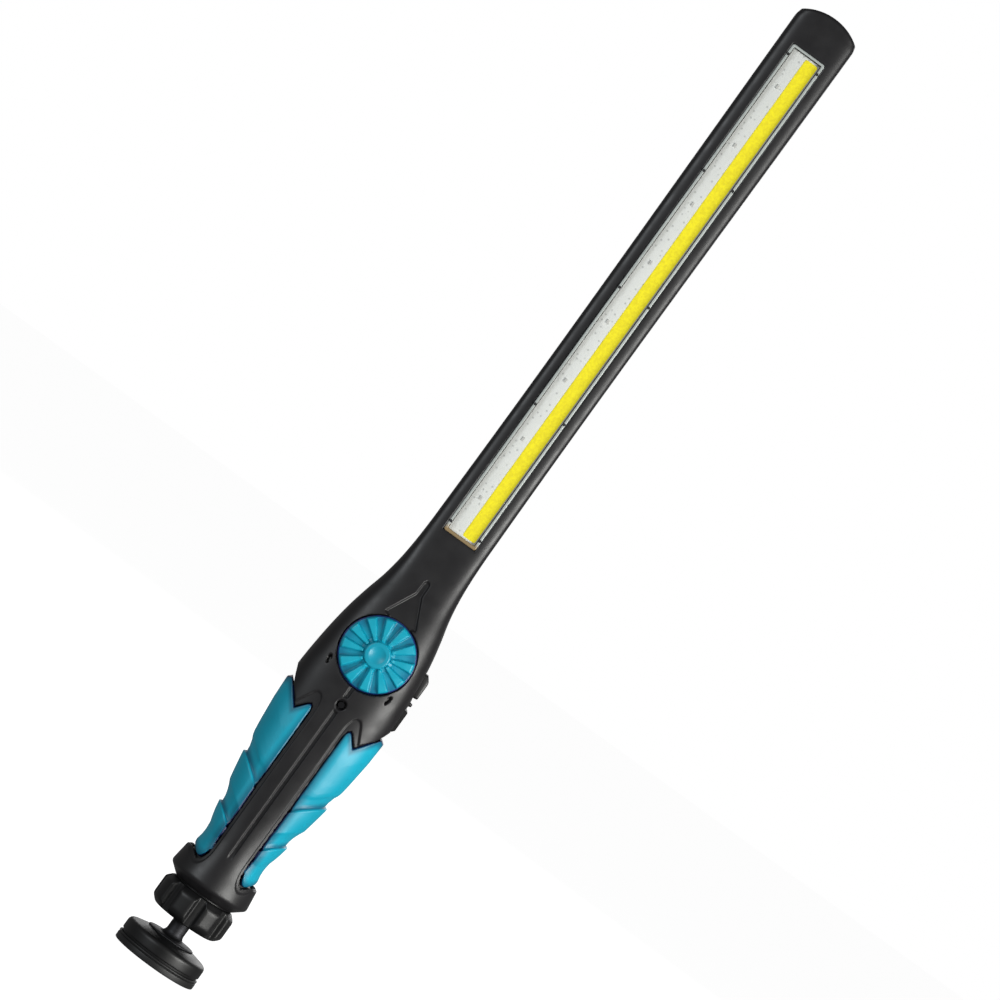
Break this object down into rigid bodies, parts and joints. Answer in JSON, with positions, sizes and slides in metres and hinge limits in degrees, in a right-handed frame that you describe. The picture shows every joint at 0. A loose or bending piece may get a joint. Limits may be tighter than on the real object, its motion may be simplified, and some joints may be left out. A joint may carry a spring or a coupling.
{
  "type": "work light",
  "caption": "Slim rechargeable stick work light with a long chip-on-board lamp, rotary dimmer, soft feathered grips and a magnetic foot on a clamped ball joint.",
  "frame": {"origin": "centre of the magnet's flat face, where the foot meets the surface that it holds on to", "axes": "+Z along the light from the foot to the tip, the lamp and dial face -Y, +X is the side of the push button"},
  "size_m": [0.0426, 0.0338, 0.4185],
  "materials": {
    "black_plastic": "fine satin texture",
    "black_gloss_plastic": "semi-gloss",
    "grip_rubber": "soft matte, blue",
    "dial_plastic": "blue, semi-gloss",
    "black_rubber": "matte",
    "steel": "plated",
    "dark_steel": "black oxide",
    "magnet": "nickel plated",
    "spring_steel": "bright",
    "acetal": "natural",
    "clear_lens": "clear polycarbonate",
    "pale_frame": "translucent pale plastic",
    "white_board": "white solder mask",
    "chip_grey": "pale ceramic",
    "phosphor": "yellow phosphor in silicone",
    "chip_black": "moulded",
    "heat_aluminium": "extruded",
    "tape_grey": "soft",
    "nickel_tab": "nickel",
    "cell_wrap": "shrink wrap",
    "cradle_plastic": "plain",
    "circuit_green": "solder mask",
    "wire_red": "insulation",
    "smoke_lens": "smoked clear",
    "led_chip": "encapsulated"
  },
  "bodies": {
    "foot": {"face_plate": "steel", "magnet_ring": "magnet", "magnet_cup": "steel", "rubber_boot": "black_rubber", "base_cap": "black_gloss_plastic", "ball_stud": "dark_steel", "stud_screw": "steel", "screw_washer": "spring_steel"},
    "seat": {"ball_seat": "acetal"},
    "spring": {"seat_spring": "spring_steel"},
    "wand": {"socket_collet": "black_plastic", "front_shell": "black_plastic", "rear_shell": "black_plastic", "grip_right": "grip_rubber", "grip_left": "grip_rubber", "shell_screws": "dark_steel", "lens_frame": "pale_frame", "lens_clips": "chip_black", "led_lens": "clear_lens", "led_board": "white_board", "cob_strip": "phosphor", "lamp_resistors": "chip_grey", "thermal_tape": "tape_grey", "heat_sink": "heat_aluminium", "cover_hinge": "black_plastic", "charge_socket": "steel", "button_switch": "chip_black", "battery_cell": "cell_wrap", "battery_tabs": "nickel_tab", "battery_cradle": "cradle_plastic", "battery_leads": "wire_red", "main_board": "circuit_green", "control_chip": "chip_black", "dimmer_pot": "chip_black", "status_led": "led_chip", "status_lens": "smoke_lens", "lamp_wires": "wire_red"},
    "nut": {"clamp_nut": "black_gloss_plastic"},
    "dial": {"dimmer_knob": "dial_plastic", "dimmer_shaft": "steel"},
    "button": {"power_button": "black_plastic"},
    "cover": {"port_cover": "black_rubber"}
  },
  "joints": [
    {"name": "ball_lean", "type": "hinge", "parent": "foot", "child": "seat", "pos_m": [0, 0, 0.027], "axis": [0, 1, 0], "range_deg": [-20, 20]},
    {"name": "ball_tilt", "type": "hinge", "parent": "seat", "child": "spring", "pos_m": [0, 0, 0.027], "axis": [1, 0, 0], "range_deg": [-20, 20]},
    {"name": "ball_spin", "type": "hinge", "parent": "spring", "child": "wand", "pos_m": [0, 0, 0.027], "axis": [0, 0, 1], "continuous": true},
    {"name": "nut_turn", "type": "hinge", "parent": "wand", "child": "nut", "pos_m": [0, 0, 0.0245], "axis": [0, 0, 1], "range_deg": [0, 270]},
    {"name": "dial_turn", "type": "hinge", "parent": "wand", "child": "dial", "pos_m": [0.0003, -0.0115, 0.13735], "axis": [0, -1, 0], "range_deg": [-260, 0]},
    {"name": "button_press", "type": "slide", "parent": "wand", "child": "button", "axis": [-1, 0, 0], "range_m": [0, 0.0008], "stiffness_N_per_m": 900, "springref_m": -0.0005},
    {"name": "cover_open", "type": "hinge", "parent": "wand", "child": "cover", "pos_m": [0.02075, 0.0054, 0.12215], "axis": [0, 0, 1], "range_deg": [0, 100]}
  ]
}
